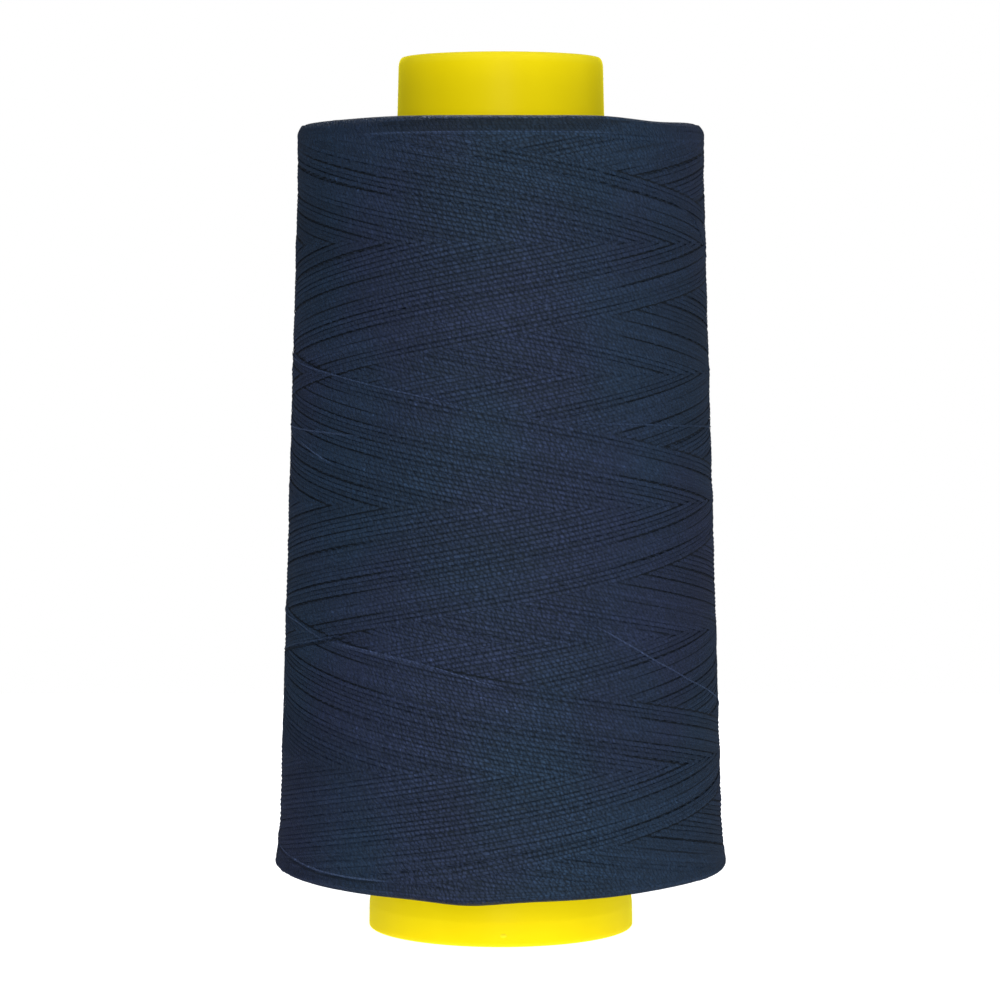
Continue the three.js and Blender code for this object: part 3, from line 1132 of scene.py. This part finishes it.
def strips(strands, final, envelope, level):
    """Vertices, quads and attributes of ridge strips for the parts of the strands that show."""
    sides = np.array([-1.0, 0.0, 1.0])
    points, yarn, quads = [], [], []
    looks = {"painted_shade": [], "pale": [], "front_light": []}
    count = 0
    for strand in strands:
        angle, row = strand.angle, strand.row
        rows = np.clip(row[:, None] + sides * strand.half_width, ROWS[0], ROWS[-1])
        heights = strand.crest[:, None] - np.abs(sides) * STRAND["edge_drop"]
        index, column = row_index(rows), (angle % COLUMNS)[:, None]
        shows = (final[index, column] - heights < HIDDEN_DEPTH).any(1)
        shown = shows[:-1] | shows[1:]
        if not shown.any():
            continue
        steps = np.radians(1.0) * np.interp(row, ROWS, ROW_RADIUS)
        along = np.cumsum(steps) + TWIST_OFFSET * strand.seed
        yarn.append(np.stack(np.broadcast_arrays(along[:, None], sides, strand.seed), -1))
        lift = flatness(rows) * (heights - level[index, column])
        points.append(on_winding(np.repeat(angle[:, None], 3, 1), rows, lift))
        shadow = END_SHADOW + (1.0 - END_SHADOW) * on_side_share(rows, "shadow")
        shadow = shadow * side_share(angle[:, None], rows)
        # Painted shade: how deep the strand lies below the crests around it, plus its own painted
        # shade
        looks["painted_shade"].append(shadow * (envelope[index, column] - heights) + strand.shade[:, None])
        # Painted highlight of stray turns
        looks["pale"].append(np.repeat(strand.pale[:, None], 3, 1))
        # Share of the front light's painted highlight and shade on the twist
        looks["front_light"].append(np.repeat(front_share(angle, **FRONT_LIGHT)[:, None], 3, 1))
        k = count + 3 * np.nonzero(shown)[0]
        quads.append(np.stack([k, k + 3, k + 4, k + 1], -1))
        quads.append(np.stack([k + 1, k + 4, k + 5, k + 2], -1))
        count += 3 * len(row)
    used, quads = np.unique(np.concatenate(quads), return_inverse=True)
    attributes = {"yarn": np.concatenate([part.reshape(-1, 3) for part in yarn])[used]}
    for key, parts in looks.items():
        attributes[key] = np.concatenate([part.ravel() for part in parts])[used]
    points = np.concatenate([part.reshape(-1, 3) for part in points])[used]
    return points, quads.reshape(-1, 4), attributes


def add_bed_shell(height, level, envelope):
    """The closed body of older turns that shows at the bottom of the deepest grooves."""
    rows = np.arange(0, len(ROWS), SHELL["row_step"])
    columns = np.arange(0, COLUMNS, SHELL["column_step"])
    angle, row = np.meshgrid(columns, ROWS[rows], indexing="ij")
    flat = flatness(row)
    points = on_winding(angle, row, flat * (height - level)[rows][:, columns].T)
    # The shell is painted dark as shade by how deep it lies below the crests
    deep = flat * side_share(angle, row) * (envelope - height)[rows][:, columns].T
    points = np.concatenate([points, points[:, :1]], 1)
    deep = np.concatenate([deep, deep[:, :1]], 1).ravel()
    none = np.zeros_like(deep)
    yarn = np.stack([none, none, np.full_like(deep, 0.5)], -1)
    attributes = {"yarn": yarn, "painted_shade": deep, "pale": none, "front_light": none}
    quads = grid_quads(len(columns), points.shape[1])
    mesh = make_mesh("yarn_bed", points.reshape(-1, 3), quads, attributes)
    add_piece("yarn_bed", mesh, YARN, "thread")


def lay_stray(bed, stray):
    strand = stray_strand(**stray)
    bed.lay(strand, STRAY["press"], STRAY["tension"])
    return strand


def add_winding():
    """Lays all the turns, oldest first, and makes a piece of each group of them that shows."""
    bed = Bed()
    groups = {}
    wind_layer(bed, 2)
    for layer in (1, 0):
        groups.update(wind_layer(bed, layer))
    groups["foot_band"] = lay_band(bed, ROWS[0] + FOOT_BAND["from_start"], FOOT_BAND["high"])
    groups["top_band"] = lay_band(bed, TOP_BAND["low"], ROWS[-1] - TOP_BAND["from_end"])
    level = ground_level(bed.height)
    crests = spread(bed.height, ENVELOPE["rows"], ENVELOPE["columns"], np.maximum)
    envelope = smoothed(crests, ENVELOPE["window"], 0)
    groups["strays"] = [lay_stray(bed, stray) for stray in STRAYS]
    final = bed.height
    lowest = spread(final, SHELL["rows"], SHELL["columns"], np.minimum)
    add_bed_shell(lowest - SHELL["below"], level, envelope)
    for name, strands in groups.items():
        points, quads, attributes = strips(strands, final, envelope, level)
        mesh = make_mesh("yarn_" + name, points, quads, attributes)
        add_piece("yarn_" + name, mesh, YARN, "thread")


add_camera()
add_world()
for light in LIGHTS:
    add_area_light(**light)
bpy.context.scene.view_settings.view_transform = "Standard"
add_floor()
PLASTIC = plastic_material()
YARN = yarn_material()
add_core()
add_gate_mark()
add_winding()
